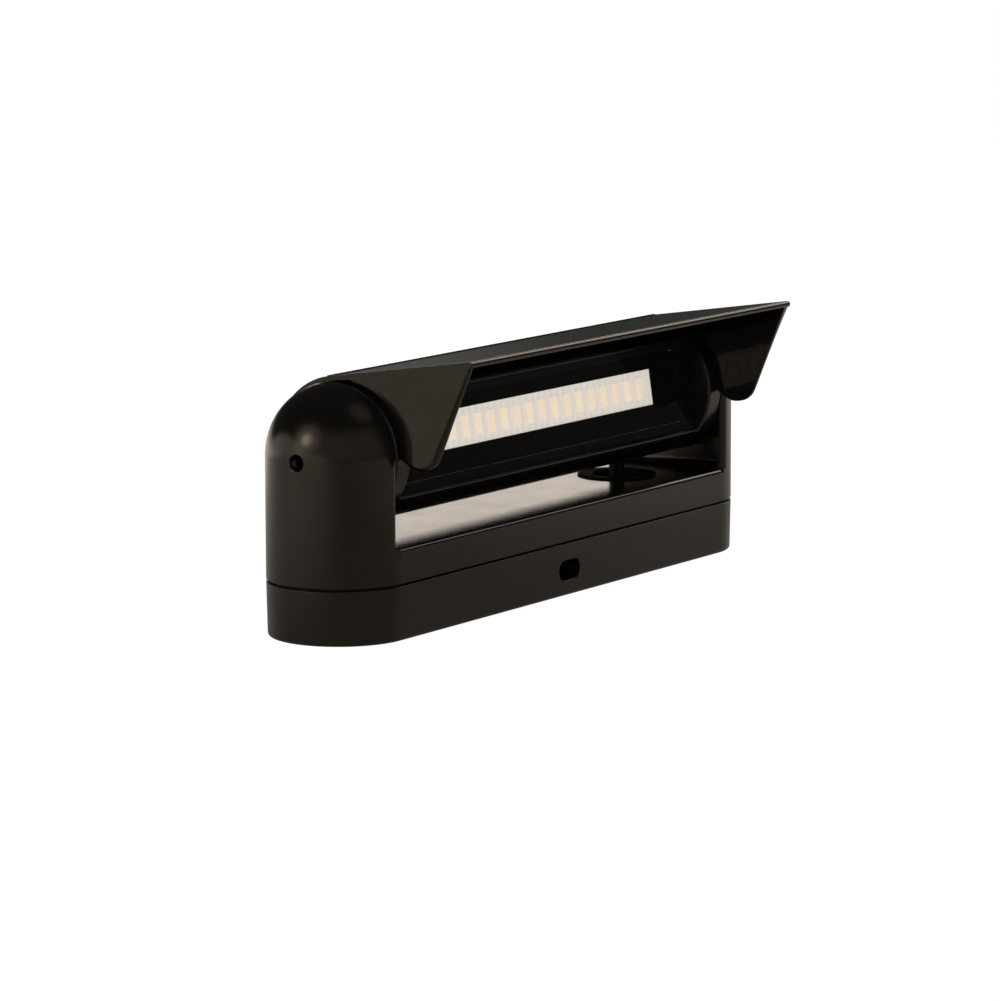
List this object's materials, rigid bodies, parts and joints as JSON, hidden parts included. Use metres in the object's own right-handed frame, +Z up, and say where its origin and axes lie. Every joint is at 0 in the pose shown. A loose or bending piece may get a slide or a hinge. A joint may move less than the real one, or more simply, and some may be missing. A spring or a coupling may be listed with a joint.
{
  "type": "linear path light",
  "caption": "Low linear path light: stadium base, domed yoke and a tilting LED bar head under a flat visor with cheeks.",
  "frame": {"origin": "middle of the flat underside that the light stands on", "axes": "+Z up, +X along the light, -Y the way the light shines"},
  "size_m": [0.2, 0.0621, 0.0742],
  "materials": {
    "tray_paint": "satin dark bronze powder coat on a die-cast tray",
    "yoke_paint": "satin dark bronze powder coat, glossy at a low angle",
    "cap_paint": "satin dark bronze powder coat on turned caps",
    "housing_paint": "satin dark bronze powder coat on an extrusion",
    "visor_paint": "satin dark bronze powder coat, a little lighter from above",
    "seal_rubber": "matt black silicone",
    "grommet_rubber": "soft black rubber",
    "lead_jacket": "round black rubber jacket",
    "screw_steel": "stainless steel",
    "nylon": "natural nylon",
    "smoked_glass": "tempered glass, printed black behind outside the window",
    "mask_black": "matt black frame",
    "board_white": "white solder mask",
    "phosphor_pale": "pale yellow phosphor",
    "phosphor_amber": "peach phosphor",
    "pad_grey": "grey thermal pad",
    "board_green": "green solder mask",
    "driver_plastic": "dark component cases"
  },
  "bodies": {
    "stand": {"base_tray": "tray_paint", "base_seal": "seal_rubber", "base_screws": "screw_steel", "cable_clamp": "nylon", "cable_clamp_screws": "screw_steel", "terminal_block": "nylon", "terminal_screws": "screw_steel", "yoke": "yoke_paint", "lead_grommet": "grommet_rubber", "head_lead": "lead_jacket", "pivot_bush_left": "nylon", "pivot_bush_right": "nylon", "tilt_washer_left": "nylon", "tilt_washer_right": "nylon"},
    "head": {"pivot_screw_left": "screw_steel", "pivot_screw_right": "screw_steel", "spring_washer_left": "screw_steel", "spring_washer_right": "screw_steel", "end_cap_left": "cap_paint", "end_cap_right": "cap_paint", "cap_seal_left": "seal_rubber", "cap_seal_right": "seal_rubber", "cap_screws_left": "screw_steel", "cap_screws_right": "screw_steel", "head_housing": "housing_paint", "lead_gland": "grommet_rubber", "glass_lens": "smoked_glass", "lens_seal": "seal_rubber", "window_mask": "mask_black", "led_board": "board_white", "leds_pale": "phosphor_pale", "leds_amber": "phosphor_amber", "thermal_pad": "pad_grey", "driver_board": "board_green", "driver_parts": "driver_plastic", "visor": "visor_paint", "visor_screws": "screw_steel"}
  },
  "joints": [
    {"name": "head_tilt", "type": "hinge", "parent": "stand", "child": "head", "pos_m": [0, 0, 0.0474], "axis": [1, 0, 0], "range_deg": [-45, 45], "deforming": ["head_lead"]}
  ]
}
